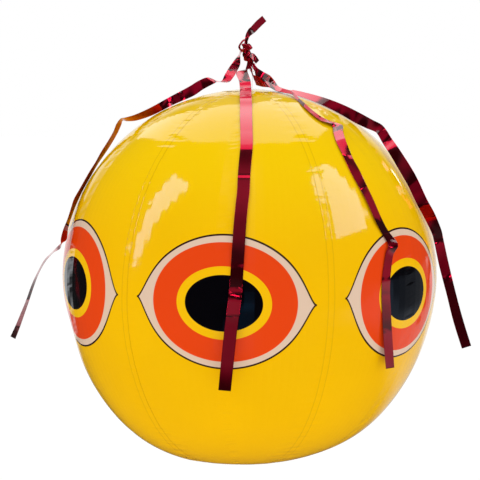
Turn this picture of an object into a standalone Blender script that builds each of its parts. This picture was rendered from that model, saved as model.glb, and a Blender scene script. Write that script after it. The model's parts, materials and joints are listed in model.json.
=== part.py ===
"""Hanging bird-scare ball of welded film, with knotted foil streamers, a hang tab and a push-in air valve."""

import math

import bmesh
import bpy
from mathutils import Vector

# Sizes of the ball
ball_radius = 0.200
film = 0.0003
gap = 0.0003
gore_count = 6
first_gore_azimuth = -7.0
lap_width = 0.0065
lap_step = 0.0015
gore_tip_fall = 5.0
gore_rows = 28
gore_columns = 8
patch_fall = 9.2
patch_rings = 5

# Sizes of the hang tab
eyelet_rise = 0.020
eyelet_radius = 0.0032
tab_width = 0.016
tab_sheet = 0.0006
tab_foot_radius = 0.014

# Sizes of the air valve
stem_radius = 0.0045
stem_wall = 0.0013
stem_length = 0.018
stem_rim_width = 0.0017
stem_rim_height = 0.0010
flange_width = 0.0068
flange_sheet = 0.0006
collar_wall = 0.0009
collar_height = 0.0050
plug_reach = 0.0090
plug_head_width = 0.0029
plug_head_height = 0.0018
strap_width = 0.0026
strap_sheet = 0.0004
strap_bulge = 0.0042
flap_sheet = 0.0005

# Sizes of the ribbon
ribbon_width = 0.012
ribbon_sheet = 0.0004
bundle_width = 0.0088
bundle_depth = 0.0052
lead_radius = 0.0010
wrap_radius = 0.0022
round_steps = 48
ribbon_steps = 3
bundle_steps = 4
wrap_rings = 8
wrap_girth = 0.58
weld_distance = 0.000001

# Shares
eyelet_rim = 1.8
tab_corner = 0.55
tab_corner_steps = 5
plug_round = 0.3
strap_steps = 8
patch_clear_share = 1.3

ball_centre = Vector((0, 0, -ball_radius - eyelet_rise))

# Where the blown ball is fuller or flatter than round: azimuth, fall and reach in degrees, and depth in
# shares of ball_radius
ball_swells = (
    (-64, 146, 23, 0.0390),
    (-80, 106, 9, -0.0140),
    (68, 141, 17, 0.0175),
    (80, 104, 12, -0.0060),
)

# Ribbon stations: azimuth, fall from the top, lift in shares of eyelet_rise, heading and rise of the
# width in degrees, and share of the ribbon's full width
left_stations = (
    (-85.3, 2.9, 2.029, 166, 12, 0.50),
    (-81.8, 3.4, 1.811, 179, 4, 1.0),
    (-79.1, 3.9, 1.643, 164, -4, 1.0),
    (-80.3, 4.5, 1.342, 139, 3, 1.0),
    (-81.5, 5.3, 1.097, 137, 15, 1.0),
    (-83.1, 6.7, 0.734, 137, 17, 1.0),
    (-84.0, 7.9, 0.494, 151, 12, 1.0),
    (-83.8, 10.1, 0.552, -176, 5, 1.0),
    (-86.1, 11.9, 0.657, 151, 40, 1.0),
    (-86.8, 14.9, 0.546, 163, 57, 1.0),
    (-87.4, 18.3, 0.363, 161, 63, 1.0),
    (-87.3, 24.5, 0.262, 173, 49, 1.0),
    (-87.3, 31.2, 0.249, -175, 43, 1.0),
    (-87.2, 36.0, 0.425, -172, 31, 1.0),
    (-87.0, 38.6, 0.656, -178, 22, 1.0),
    (-86.7, 39.7, 0.794, 176, 15, 1.08),
    (-86.3, 41.2, 0.695, 162, 20, 1.0),
    (-86.0, 43.5, 0.514, 165, 20, 1.0),
    (-85.4, 46.7, 0.366, 168, 21, 1.0),
    (-84.9, 50.1, 0.287, 168, 20, 1.0),
    (-84.4, 53.7, 0.228, 172, 15, 1.0),
    (-83.3, 57.2, 0.165, 174, 16, 1.0),
    (-81.0, 62.4, 0.133, 176, 15, 1.0),
    (-78.8, 65.9, 0.131, 174, 17, 1.0),
    (-76.9, 68.6, 0.150, 175, 12, 1.0),
    (-75.0, 72.0, 0.133, 174, 8, 1.0),
    (-72.8, 74.9, 0.169, 171, 13, 1.0),
    (-71.1, 77.7, 0.116, 174, 16, 1.0),
    (-72.1, 79.8, 0.394, -166, -5, 1.0),
    (-73.0, 81.9, 0.731, -179, -6, 1.0),
    (-73.9, 84.5, 1.056, -179, -2, 1.0),
    (-74.6, 87.8, 1.340, 176, 1, 1.0),
    (-75.0, 91.2, 1.611, 177, 6, 1.0),
    (-75.4, 95.0, 1.916, 177, 9, 1.0),
    (-75.7, 98.4, 2.279, 180, 13, 1.0),
    (-76.0, 101.1, 2.620, -177, 17, 1.0),
    (-76.3, 103.4, 2.975, -171, 19, 1.0),
)
centre_stations = (
    (-33.5, 2.2, 1.079, 146, -24, 0.37),
    (-61.2, 3.3, 0.919, 118, -25, 1.0),
    (-29.2, 4.4, 0.414, 150, -11, 1.0),
    (-11.1, 9.9, 0.106, 168, -4, 1.0),
    (-5.3, 19.6, 0.173, 175, 1, 1.0),
    (-4.0, 24.5, 0.047, 176, 1, 1.0),
    (-3.0, 31.5, 0.047, 177, 1, 1.0),
    (-2.3, 37.6, 0.046, 177, 1, 1.0),
    (-1.9, 43.5, 0.046, 178, 1, 1.0),
    (-2.1, 48.8, 0.043, 178, 2, 1.0),
    (-2.3, 53.8, 0.045, 178, 2, 1.0),
    (-2.3, 58.6, 0.079, 175, 8, 1.0),
    (-2.6, 63.0, 0.103, 173, 13, 1.0),
    (-2.9, 67.9, 0.113, 174, 15, 1.0),
    (-3.1, 73.6, 0.110, 176, 14, 1.0),
    (-3.3, 78.6, 0.084, 178, 9, 1.0),
    (-3.5, 83.8, 0.063, -179, 4, 1.0),
    (-3.6, 86.9, 0.311, -177, 4, 1.0),
    (-4.1, 91.6, 0.330, -176, 4, 1.0),
    (-4.7, 96.8, 0.384, -176, 4, 1.0),
    (-5.4, 103.9, 0.554, -175, 4, 1.0),
    (-6.2, 111.9, 0.951, -168, 12, 1.0),
)
outer_stations = (
    (53.6, 1.3, 1.036, 53, 42, 0.37),
    (50.9, 3.0, 0.720, 12, 42, 1.0),
    (72.7, 4.6, 0.553, 16, 46, 1.0),
    (79.6, 6.1, 0.334, 14, 37, 1.0),
    (64.0, 8.5, 0.154, -15, 21, 1.0),
    (64.0, 12.0, 0.120, -20, 14, 1.0),
    (68.9, 13.2, 0.141, -19, 18, 1.0),
    (68.4, 15.5, 0.156, -18, 21, 1.0),
    (69.3, 19.6, 0.188, -12, 28, 1.0),
    (70.0, 24.3, 0.237, -12, 39, 1.0),
    (71.4, 28.9, 0.283, -12, 51, 1.0),
    (74.4, 33.6, 0.318, -25, 64, 1.0),
    (73.5, 37.5, 0.424, -14, 55, 1.0),
    (73.3, 40.2, 0.538, -3, 49, 1.0),
    (72.2, 42.1, 0.508, 15, 43, 1.0),
    (71.0, 45.0, 0.411, -1, 50, 1.0),
    (68.3, 48.7, 0.418, 2, 52, 1.0),
    (67.1, 54.8, 0.385, -2, 71, 1.0),
    (67.2, 59.2, 0.364, -8, 63, 1.0),
    (68.3, 64.7, 0.305, -3, 58, 1.0),
    (70.0, 69.0, 0.335, 3, 64, 1.0),
    (72.5, 74.0, 0.363, -2, 50, 1.0),
    (73.6, 77.1, 0.341, -1, 46, 1.0),
    (74.6, 83.9, 0.431, -12, 47, 1.0),
    (75.5, 92.1, 0.801, -14, 43, 1.0),
    (76.1, 99.2, 1.361, -23, 46, 1.0),
    (76.6, 105.4, 2.113, -30, 42, 1.0),
)
inner_stations = (
    (13.2, 2.5, 0.505, -161, 67, 1.0),
    (32.9, 4.3, 0.428, -115, 59, 1.0),
    (43.7, 6.5, 0.350, -70, 31, 1.0),
    (49.2, 9.1, 0.208, -48, 19, 1.0),
    (52.1, 12.0, 0.168, -42, 10, 1.0),
    (51.4, 15.0, 0.185, -39, 5, 1.0),
    (48.4, 18.6, 0.037, -31, 0, 1.0),
    (42.3, 23.5, 0.049, -35, -3, 1.0),
    (40.5, 27.9, 0.065, -38, -6, 1.0),
    (41.6, 31.6, 0.064, -38, -6, 1.0),
    (45.4, 33.7, 0.091, -36, -11, 1.0),
    (47.1, 35.7, 0.117, 6, 15, 1.0),
    (43.8, 38.4, 0.099, 3, 11, 1.0),
    (41.0, 42.5, 0.088, 0, 9, 1.0),
    (39.9, 47.6, 0.044, 11, -2, 1.0),
    (39.5, 53.0, 0.061, -4, 4, 1.0),
    (40.1, 58.1, 0.053, -9, -4, 1.0),
    (40.7, 62.1, 0.075, -9, -8, 1.0),
    (41.8, 67.8, 0.077, -3, -8, 1.0),
    (43.4, 71.4, 0.055, 0, -4, 1.0),
    (45.2, 75.3, 0.158, 4, 12, 1.0),
    (43.7, 77.8, 0.057, 11, -5, 1.0),
    (41.8, 83.0, 0.038, -1, -1, 1.0),
    (41.2, 87.8, 0.038, 5, -1, 1.0),
    (41.6, 93.0, 0.049, 0, 2, 1.0),
    (42.4, 99.0, 0.138, 0, 3, 1.0),
    (43.7, 104.8, 0.270, 0, 5, 1.0),
    (45.0, 109.7, 0.465, -1, 4, 1.0),
)
tail_stations = (
    (-82.2, 1.7, 2.430, 151, 8, 0.42),
    (-79.8, 1.3, 2.710, 161, 21, 0.67),
    (-71.0, 0.7, 2.925, 179, 30, 1.0),
    (28.0, 0.2, 3.071, -87, 30, 1.0),
    (79.9, 1.2, 3.350, -39, 29, 1.0),
    (85.1, 2.5, 3.656, -31, 29, 1.0),
)
stub_stations = (
    (-55.9, 0.9, 1.833, -136, 40, 0.50),
    (8.4, 0.7, 1.735, -70, 35, 0.83),
    (34.5, 1.2, 1.602, -41, 27, 1.0),
    (53.4, 1.7, 1.437, -20, 17, 1.0),
)

# Bundle path: azimuth, fall, lift in shares of eyelet_rise, share of the full girth, twist in degrees
bundle_stations = (
    (-81, 1.42, 2.400, 0.62, 0),
    (-81, 1.46, 2.290, 0.92, 25),
    (-81, 1.50, 2.178, 0.80, 60),
    (-81, 1.55, 1.918, 0.90, 115),
    (-79, 1.31, 1.709, 1.00, 170),
    (-75, 0.96, 1.500, 0.95, 215),
    (-64, 0.58, 1.400, 0.60, 240),
)
bundle_folds = (1.0, 0.70, 0.95, 0.66, 1.0, 0.74, 0.97, 0.64)

# Lead from the bundle through the eyelet: right, forward and up, in shares of the eyelet's radius
lead_stations = (
    (-0.95, 0.1, 1.30),
    (-0.8, 0, 0.05),
    (0, 0, -0.58),
    (0.8, 0, 0.05),
    (0.95, 0.1, 1.30),
    (0.6, 0.2, 2.30),
)

# Wraps of the knot: azimuth, fall, lift in shares of eyelet_rise, lean in degrees
wraps = (
    (-81, 1.48, 2.27, 16),
    (-81, 1.48, 2.12, -14),
)


def clear_scene():
    for obj in list(bpy.data.objects):
        bpy.data.objects.remove(obj, do_unlink=True)


def new_collection(name, helper=False):
    collection = bpy.data.collections.new(name)
    bpy.context.scene.collection.children.link(collection)
    collection.hide_render = helper
    return collection


def new_material(name, colour, roughness, metallic=0.0, alpha=1.0):
    material = bpy.data.materials.new(name)
    material.use_nodes = True
    shader = material.node_tree.nodes["Principled BSDF"]
    shader.inputs["Base Color"].default_value = (*colour, 1)
    shader.inputs["Roughness"].default_value = roughness
    shader.inputs["Metallic"].default_value = metallic
    shader.inputs["Alpha"].default_value = alpha
    return material


def new_object(name, data, collection, material=None):
    obj = bpy.data.objects.new(name, data)
    collection.objects.link(obj)
    if material:
        data.materials.append(material)
    if collection.hide_render:
        obj.hide_render = True
        obj.display_type = "WIRE"
    return obj


def smooth(mesh):
    mesh.polygons.foreach_set("use_smooth", [True] * len(mesh.polygons))


def outward(azimuth, fall):
    a = math.radians(azimuth)
    f = math.radians(fall)
    return Vector((math.sin(f) * math.sin(a), -math.sin(f) * math.cos(a), math.cos(f)))


def place(azimuth, fall, lift=0.0):
    return ball_centre + (ball_radius + lift) * outward(azimuth, fall)


def swell(azimuth, fall):
    """How far the skin stands out of round, which is nothing at the patches."""
    out = outward(azimuth, fall)
    depth = 0.0
    for a, f, reach, most in ball_swells:
        depth += most * math.exp(-((math.degrees(out.angle(outward(a, f))) / reach) ** 2))
    share = min(fall, 180 - fall) / patch_fall / patch_clear_share - 1
    share = min(max(share, 0.0), 1.0)
    return ball_radius * depth * share**2 * (3 - 2 * share)


def solidify(obj, thickness, offset):
    modifier = obj.modifiers.new("sheet", "SOLIDIFY")
    modifier.thickness = thickness
    modifier.offset = offset
    modifier.use_even_offset = True


def grid_mesh(name, rows):
    mesh = bmesh.new()
    lines = [[mesh.verts.new(point) for point in row] for row in rows]
    for upper, lower in zip(lines, lines[1:]):
        for i in range(len(upper) - 1):
            mesh.faces.new((upper[i], lower[i], lower[i + 1], upper[i + 1]))
    data = bpy.data.meshes.new(name)
    mesh.to_mesh(data)
    mesh.free()
    smooth(data)
    return data


def turned(name, points, collection, material=None):
    """Turns a profile of (radius, height), which runs clockwise, about the ball's axis."""
    count = len(points)
    closed = points[0][0] > 0
    edges = [(i, (i + 1) % count) for i in range(count if closed else count - 1)]
    mesh = bpy.data.meshes.new(name)
    mesh.from_pydata([(radius, 0, height) for radius, height in points], edges, [])
    obj = new_object(name, mesh, collection, material)
    obj.location = ball_centre
    screw = obj.modifiers.new("turn", "SCREW")
    screw.axis = "Z"
    screw.steps = round_steps
    screw.render_steps = round_steps
    screw.use_merge_vertices = True
    screw.merge_threshold = 0.00001
    screw.use_smooth_shade = True
    return obj


def arc(radius, falls):
    return [(radius * math.sin(math.radians(f)), radius * math.cos(math.radians(f))) for f in falls]


def spread(first, last, count):
    return [first + (last - first) * i / count for i in range(count + 1)]


def boolean(obj, other, operation):
    modifier = obj.modifiers.new(operation.lower(), "BOOLEAN")
    modifier.operation = operation
    modifier.solver = "EXACT"
    modifier.use_self = operation == "UNION"
    modifier.object = other


def make_gore(index, collection, material):
    """One panel: its left edge is tucked under its neighbour, and its right edge laps over the next."""
    middle = first_gore_azimuth + index * 360 / gore_count
    half = 180 / gore_count
    rows = []
    for fall in spread(gore_tip_fall, 180 - gore_tip_fall, gore_rows):
        across = math.degrees(1 / (ball_radius * math.sin(math.radians(fall))))
        lap = across * lap_width / 2
        under = [-half - lap, -half, -half + lap]
        over = spread(under[2] + across * lap_step, half - lap, gore_columns)
        over += [half, half + lap]
        row = [place(middle + a, fall, swell(middle + a, fall) - film - gap) for a in under]
        row += [place(middle + a, fall, swell(middle + a, fall)) for a in over]
        rows.append(row)
    name = f"gore_{index + 1}"
    obj = new_object(name, grid_mesh(name, rows), collection, material)
    solidify(obj, film, -1)


def make_patches(collection, material):
    """The round patches that cover the gore tips; the lower one has the valve's hole."""
    inner = ball_radius + gap
    outer = inner + film
    falls = spread(0, patch_fall, patch_rings)
    turned("top_patch", arc(outer, falls) + arc(inner, falls[::-1]), collection, material)
    hole = math.degrees(math.asin((collar_outer + gap) / inner))
    falls = [180 - f for f in spread(hole, patch_fall, patch_rings)]
    turned("bottom_patch", arc(inner, falls) + arc(outer, falls[::-1]), collection, material)


def make_hang_tab(collection, helpers, material):
    """An upright clear tongue with the eyelet, on a round foot that is welded to the top patch."""
    inner = ball_radius + 2 * gap + film
    edge = math.degrees(math.asin(tab_foot_radius / inner))
    falls = spread(0, edge, patch_rings)
    foot = arc(inner + tab_sheet, falls) + arc(inner, falls[::-1])
    tab = turned("hang_tab", foot, collection, material)
    half = tab_width / 2
    top = eyelet_radius * eyelet_rim
    corner = half * tab_corner
    foot_height = -eyelet_rise + 2 * gap + film + tab_sheet / 2
    outline = [(-half, foot_height), (half, foot_height)]
    for side in (1, -1):
        for turn in spread(0, 90, tab_corner_steps):
            angle = math.radians(turn if side > 0 else 90 - turn)
            outline.append(
                (side * (half - corner + corner * math.cos(angle)), top - corner + corner * math.sin(angle))
            )
    mesh = bmesh.new()
    mesh.faces.new([mesh.verts.new((0, y, z)) for y, z in outline])
    data = bpy.data.meshes.new("tongue")
    mesh.to_mesh(data)
    mesh.free()
    tongue = new_object("tongue", data, helpers)
    solidify(tongue, tab_sheet, 0)
    boolean(tab, tongue, "UNION")
    mesh = bmesh.new()
    bmesh.ops.create_cone(
        mesh,
        cap_ends=True,
        segments=round_steps // 2,
        radius1=eyelet_radius,
        radius2=eyelet_radius,
        depth=tab_width,
    )
    data = bpy.data.meshes.new("eyelet")
    mesh.to_mesh(data)
    mesh.free()
    eyelet = new_object("eyelet", data, helpers)
    eyelet.rotation_euler = (0, math.pi / 2, 0)
    boolean(tab, eyelet, "DIFFERENCE")


def skin_height(radius, lift):
    return -math.sqrt((ball_radius + lift) ** 2 - radius**2)


def make_valve(collection, material):
    """The valve at the bottom: a welded flange, a stem that pushes in, its plug, a strap and a check flap."""
    inner = 2 * gap + film
    outer = inner + flange_sheet
    sleeve = stem_radius + gap
    flange_radius = collar_outer + flange_width
    turned(
        "valve_flange",
        [
            (sleeve, -ball_radius + collar_height),
            (collar_outer, -ball_radius + collar_height),
            (collar_outer, skin_height(collar_outer, inner)),
            (flange_radius, skin_height(flange_radius, inner)),
            (flange_radius, skin_height(flange_radius, outer)),
            (sleeve, skin_height(sleeve, outer)),
        ],
        collection,
        material,
    )
    stem_bore = stem_radius - stem_wall
    stem_rim_radius = stem_radius + stem_rim_width
    rim_top = -ball_radius - outer - gap
    rim_bottom = rim_top - stem_rim_height
    stem_top = rim_bottom + stem_length
    turned(
        "valve_stem",
        [
            (stem_bore, stem_top),
            (stem_radius, stem_top),
            (stem_radius, rim_top),
            (stem_rim_radius, rim_top),
            (stem_rim_radius, rim_bottom),
            (stem_bore, rim_bottom),
        ],
        collection,
        material,
    )
    plug_radius = stem_bore - gap
    plug_head_radius = plug_radius + plug_head_width
    head_top = rim_bottom - gap
    head_bottom = head_top - plug_head_height
    round_off = plug_head_height * plug_round
    turned(
        "valve_plug",
        [
            (0, head_top + plug_reach),
            (plug_radius - round_off, head_top + plug_reach),
            (plug_radius, head_top + plug_reach - round_off),
            (plug_radius, head_top),
            (plug_head_radius, head_top),
            (plug_head_radius, head_bottom + round_off),
            (plug_head_radius - round_off, head_bottom),
            (0, head_bottom),
        ],
        collection,
        material,
    )
    turned(
        "check_flap",
        [
            (0, stem_top + gap + flap_sheet),
            (stem_radius, stem_top + gap + flap_sheet),
            (stem_radius, stem_top + gap),
            (0, stem_top + gap),
        ],
        collection,
        material,
    )
    start = Vector((stem_rim_radius + gap, 0, rim_bottom + stem_rim_height / 2))
    end = Vector((plug_head_radius + gap, 0, head_bottom + plug_head_height / 2))
    side = Vector((0, strap_width / 2, 0))
    rows = []
    for turn in spread(0, 180, strap_steps):
        share = (1 - math.cos(math.radians(turn))) / 2
        point = start.lerp(end, share)
        point.x += strap_bulge * math.sin(math.radians(turn))
        rows.append((ball_centre + point - side, ball_centre + point + side))
    strap = new_object("plug_strap", grid_mesh("plug_strap", rows), collection, material)
    solidify(strap, strap_sheet, 0)


def ribbon_edges(station):
    azimuth, fall, lift, heading, rise, share = station
    heading = math.radians(heading)
    rise = math.radians(rise)
    flat = math.cos(heading) * outward(azimuth + 90, 90) + math.sin(heading) * outward(azimuth, fall + 90)
    half = share * ribbon_width / 2 * (math.cos(rise) * flat + math.sin(rise) * outward(azimuth, fall))
    middle = place(azimuth, fall, lift * eyelet_rise)
    return middle + half, middle - half


def between(before, start, end, after, share):
    """A point on the smooth line from start to end, led by the points before and after."""
    return (
        start
        + (end - before) * (share / 2)
        + (2 * before - 5 * start + 4 * end - after) * (share**2 / 2)
        + (3 * start - before - 3 * end + after) * (share**3 / 2)
    )


def make_ribbon(name, stations, collection, material):
    edges = [ribbon_edges(station) for station in stations]
    last = len(edges) - 1
    rows = []
    for i in range(last):
        guides = [edges[j] for j in (max(i - 1, 0), i, i + 1, min(i + 2, last))]
        for step in range(ribbon_steps):
            rows.append([between(*line, step / ribbon_steps) for line in zip(*guides)])
    rows.append(edges[last])
    obj = new_object(name, grid_mesh(name, rows), collection, material)
    solidify(obj, ribbon_sheet, 0)


def swept(name, points, helpers, radius=0.0, profile=None, girths=None, twists=None):
    """A closed mesh swept along points with a round or a folded section."""
    curve = bpy.data.curves.new(name, "CURVE")
    curve.dimensions = "3D"
    curve.twist_mode = "MINIMUM"
    curve.resolution_u = 1
    curve.use_fill_caps = True
    spline = curve.splines.new("POLY")
    spline.points.add(len(points) - 1)
    for i, point in enumerate(points):
        spline.points[i].co = (*point, 1)
        spline.points[i].radius = girths[i] if girths else 1
        spline.points[i].tilt = math.radians(twists[i]) if twists else 0
    if profile:
        curve.bevel_mode = "OBJECT"
        curve.bevel_object = profile
    else:
        curve.bevel_depth = radius
        curve.bevel_resolution = 2
    guide = new_object(name + "_guide", curve, helpers)
    bpy.context.view_layer.update()
    graph = bpy.context.evaluated_depsgraph_get()
    data = bpy.data.meshes.new_from_object(guide.evaluated_get(graph))
    bpy.data.objects.remove(guide, do_unlink=True)
    mesh = bmesh.new()
    mesh.from_mesh(data)
    bmesh.ops.remove_doubles(mesh, verts=mesh.verts, dist=weld_distance)
    bmesh.ops.recalc_face_normals(mesh, faces=mesh.faces)
    mesh.to_mesh(data)
    mesh.free()
    smooth(data)
    data.name = name
    return data


def smooth_path(points, steps):
    last = len(points) - 1
    path = []
    for i in range(last):
        guides = [points[j] for j in (max(i - 1, 0), i, i + 1, min(i + 2, last))]
        path += [between(*guides, step / steps) for step in range(steps)]
    return path + [points[last]]


def make_knot(collection, helpers, material):
    """The twisted bundle of all the ribbons, its wraps, and the loop that it makes through the eyelet."""
    section = bpy.data.curves.new("bundle_section", "CURVE")
    section.dimensions = "2D"
    spline = section.splines.new("POLY")
    spline.points.add(len(bundle_folds) - 1)
    spline.use_cyclic_u = True
    for i, fold in enumerate(bundle_folds):
        turn = math.tau * i / len(bundle_folds)
        x = fold * bundle_width / 2 * math.cos(turn)
        y = fold * bundle_depth / 2 * math.sin(turn)
        spline.points[i].co = (x, y, 0, 1)
    profile = new_object("bundle_section", section, helpers)
    values = [(*place(a, f, lift * eyelet_rise), g, t) for a, f, lift, g, t in bundle_stations]
    path = smooth_path([Vector(v) for v in values], bundle_steps)
    points = [Vector(v[:3]) for v in path]
    data = swept(
        "ribbon_knot",
        points,
        helpers,
        profile=profile,
        girths=[v[3] for v in path],
        twists=[v[4] for v in path],
    )
    knot = new_object("ribbon_knot", data, collection, material)
    lead = [Vector((x, -y, z)) * eyelet_radius for x, y, z in lead_stations]
    lead = [points[-3], *lead, points[-2]]
    data = swept("lead", smooth_path(lead, bundle_steps), helpers, radius=lead_radius)
    boolean(knot, new_object("lead", data, helpers), "UNION")
    for number, (azimuth, fall, lift, lean) in enumerate(wraps):
        mesh = bmesh.new()
        bmesh.ops.create_uvsphere(mesh, u_segments=round_steps // 4, v_segments=wrap_rings, radius=1)
        name = f"wrap_{number + 1}"
        data = bpy.data.meshes.new(name)
        mesh.to_mesh(data)
        mesh.free()
        wrap = new_object(name, data, helpers)
        wrap.scale = (bundle_width * wrap_girth, bundle_depth * wrap_girth, wrap_radius)
        wrap.rotation_euler = (0, math.radians(lean), 0)
        wrap.location = place(azimuth, fall, lift * eyelet_rise)
        boolean(knot, wrap, "UNION")


clear_scene()
collar_outer = stem_radius + gap + collar_wall
parts = new_collection("bird_scare_balloon")
helpers = new_collection("helpers", helper=True)
skin = new_material("yellow_film", (0.91, 0.53, 0.0), 0.15)
clear = new_material("clear_film", (0.85, 0.87, 0.88), 0.1, alpha=0.35)
foil = new_material("red_foil", (0.35, 0.01, 0.03), 0.2, metallic=1.0)
for index in range(gore_count):
    make_gore(index, parts, skin)
make_patches(parts, skin)
make_hang_tab(parts, helpers, clear)
make_valve(parts, clear)
make_knot(parts, helpers, foil)
make_ribbon("streamer_left", left_stations, parts, foil)
make_ribbon("streamer_centre", centre_stations, parts, foil)
make_ribbon("streamer_inner_right", inner_stations, parts, foil)
make_ribbon("streamer_outer_right", outer_stations, parts, foil)
make_ribbon("ribbon_tail", tail_stations, parts, foil)
make_ribbon("ribbon_stub", stub_stations, parts, foil)
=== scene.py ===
import json
import math

import bmesh
import bpy
import numpy as np
from mathutils import Matrix, Quaternion, Vector, noise

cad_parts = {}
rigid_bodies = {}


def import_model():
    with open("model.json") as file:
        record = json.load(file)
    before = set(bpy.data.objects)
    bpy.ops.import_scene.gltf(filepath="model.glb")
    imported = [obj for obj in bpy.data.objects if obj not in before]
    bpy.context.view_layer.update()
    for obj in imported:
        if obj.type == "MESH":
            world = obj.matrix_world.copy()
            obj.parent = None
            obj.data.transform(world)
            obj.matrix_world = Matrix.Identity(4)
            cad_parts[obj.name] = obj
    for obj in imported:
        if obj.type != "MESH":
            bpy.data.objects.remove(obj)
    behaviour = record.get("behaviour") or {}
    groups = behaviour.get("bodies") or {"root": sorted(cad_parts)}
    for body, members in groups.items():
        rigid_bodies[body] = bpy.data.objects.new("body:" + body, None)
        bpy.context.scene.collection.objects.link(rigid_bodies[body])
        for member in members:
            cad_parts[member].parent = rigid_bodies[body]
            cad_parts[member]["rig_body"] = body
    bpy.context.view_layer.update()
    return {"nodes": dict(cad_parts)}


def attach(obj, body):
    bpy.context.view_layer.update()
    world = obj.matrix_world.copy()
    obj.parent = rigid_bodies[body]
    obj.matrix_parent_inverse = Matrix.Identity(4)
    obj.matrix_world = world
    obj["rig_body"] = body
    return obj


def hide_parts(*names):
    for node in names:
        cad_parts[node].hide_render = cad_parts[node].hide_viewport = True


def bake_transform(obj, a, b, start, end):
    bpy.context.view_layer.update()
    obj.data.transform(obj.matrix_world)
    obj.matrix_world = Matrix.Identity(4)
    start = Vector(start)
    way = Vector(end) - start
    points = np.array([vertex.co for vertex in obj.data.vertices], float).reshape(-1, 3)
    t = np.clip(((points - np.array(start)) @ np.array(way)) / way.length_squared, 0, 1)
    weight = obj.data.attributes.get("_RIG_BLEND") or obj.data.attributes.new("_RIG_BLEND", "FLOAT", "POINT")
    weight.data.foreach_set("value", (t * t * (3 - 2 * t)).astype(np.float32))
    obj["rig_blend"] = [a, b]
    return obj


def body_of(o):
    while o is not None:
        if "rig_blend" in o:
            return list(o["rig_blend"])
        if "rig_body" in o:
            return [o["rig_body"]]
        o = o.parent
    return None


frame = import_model()

# The camera stands a little above the ball's middle and far off, as a long lens does, and the ball
# hangs just below the middle of its frame.
ball_radius = 0.200
eyelet_rise = 0.020
ball_centre = Vector((0, 0, -ball_radius - eyelet_rise))
camera_distance = 1.500
camera_elevation = math.radians(7.7)
camera_roll = math.radians(0.8)
camera_focus = 1392.2
frame_size = 480
ball_in_frame = (9.5, -36.0)

back = Vector((0, -math.cos(camera_elevation), math.sin(camera_elevation)))
side = Vector((1, 0, 0))
upright = Matrix((side, back.cross(side), back)).transposed().to_quaternion()
aim = Vector((*ball_in_frame, -camera_focus)).rotation_difference(Vector((0, 0, -1)))
lens = bpy.data.cameras.new("camera")
lens.sensor_width = 36
lens.lens = camera_focus / frame_size * lens.sensor_width
camera = bpy.data.objects.new("camera", lens)
bpy.context.scene.collection.objects.link(camera)
camera.rotation_mode = "QUATERNION"
camera.rotation_quaternion = upright @ Quaternion((0, 0, 1), camera_roll) @ aim
camera.location = ball_centre + back * camera_distance
bpy.context.scene.camera = camera
bpy.context.scene.view_settings.view_transform = "Standard"


# The studio: soft panels at both sides and overhead with a small one far right, a pale wall behind, a dim
# room in front, and a pale floor under the hanging ball. Matt surfaces get an even fill instead of the room.
panel_distance = 1.7
room_level = 0.04
wall_level = 0.95
wall_depths = (0.74, 0.92)
wall_heights = (0.28, 0.55)
fill_level = 0.92
fill_slope = 0.20
strip_place = -0.08
strip_edges = (0.08, 0.2)
strip_level = 0.02
# How the pale strip in front changes with height: by how much, from where and up to where
strip_changes = ((0.2, 0.08, 0.42), (0.2, 0.6, 0.88), (-0.35, 0.93, 1.0))


class Graph:
    """Adds nodes to one shader or geometry tree."""

    def __init__(self, tree):
        self.tree = tree

    def node(self, kind, settings=None, inputs=None, output=0):
        """Adds a node of this kind with these settings and sockets, and gives one of its outputs."""
        made = self.tree.nodes.new(kind)
        for name, value in (settings or {}).items():
            setattr(made, name, value)
        for key, value in (inputs or {}).items():
            self.feed(made.inputs[key], value)
        return Value(self, made.outputs[output]) if made.outputs else None

    def feed(self, socket, value):
        if isinstance(value, Value):
            self.tree.links.new(value.socket, socket)
        else:
            socket.default_value = value

    def smooth(self, value, low, high):
        """0 below low, 1 above high and a soft step between them."""
        inputs = {"Value": value, 1: low, 2: high}
        return self.node("ShaderNodeMapRange", {"interpolation_type": "SMOOTHSTEP"}, inputs)

    def mix(self, share, first, second):
        """A colour between two colours."""
        settings = {"data_type": "RGBA"}
        return self.node("ShaderNodeMix", settings, {0: share, 6: first, 7: second}, output=2)

    def place(self):
        """Object coordinates, whose origin is the eyelet's middle."""
        return self.node("ShaderNodeTexCoord", output="Object")

    def split(self, vector):
        """The three parts of a vector."""
        parts = self.node("ShaderNodeSeparateXYZ", inputs={0: vector})
        return [Value(self, socket) for socket in parts.socket.node.outputs]

    def join(self, x, y, z):
        return self.node("ShaderNodeCombineXYZ", inputs={0: x, 1: y, 2: z})

    def noise(self, vector, scale, detail):
        inputs = {"Vector": vector, "Scale": scale, "Detail": detail}
        return self.node("ShaderNodeTexNoise", inputs=inputs)


class Value:
    """An output of a node tree: an expression on it adds Math nodes."""

    def __init__(self, graph, socket):
        self.graph = graph
        self.socket = socket

    def math(self, operation, *others):
        inputs = dict(enumerate([self, *others]))
        return self.graph.node("ShaderNodeMath", {"operation": operation}, inputs)

    def after(self, operation, other):
        return self.graph.node("ShaderNodeMath", {"operation": operation}, {0: other, 1: self})

    def __add__(self, other):
        return self.math("ADD", other)

    def __sub__(self, other):
        return self.math("SUBTRACT", other)

    def __mul__(self, other):
        return self.math("MULTIPLY", other)

    def __truediv__(self, other):
        return self.math("DIVIDE", other)

    def __pow__(self, other):
        return self.math("POWER", other)

    def __rsub__(self, other):
        return self.after("SUBTRACT", other)

    def __rtruediv__(self, other):
        return self.after("DIVIDE", other)

    def __abs__(self):
        return self.math("ABSOLUTE")

    def least(self, other):
        return self.math("MINIMUM", other)

    def most(self, other):
        return self.math("MAXIMUM", other)

    __radd__ = __add__
    __rmul__ = __mul__


def new_object(name, data, material):
    data.materials.append(material)
    obj = bpy.data.objects.new(name, data)
    bpy.context.scene.collection.objects.link(obj)
    return obj


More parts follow.
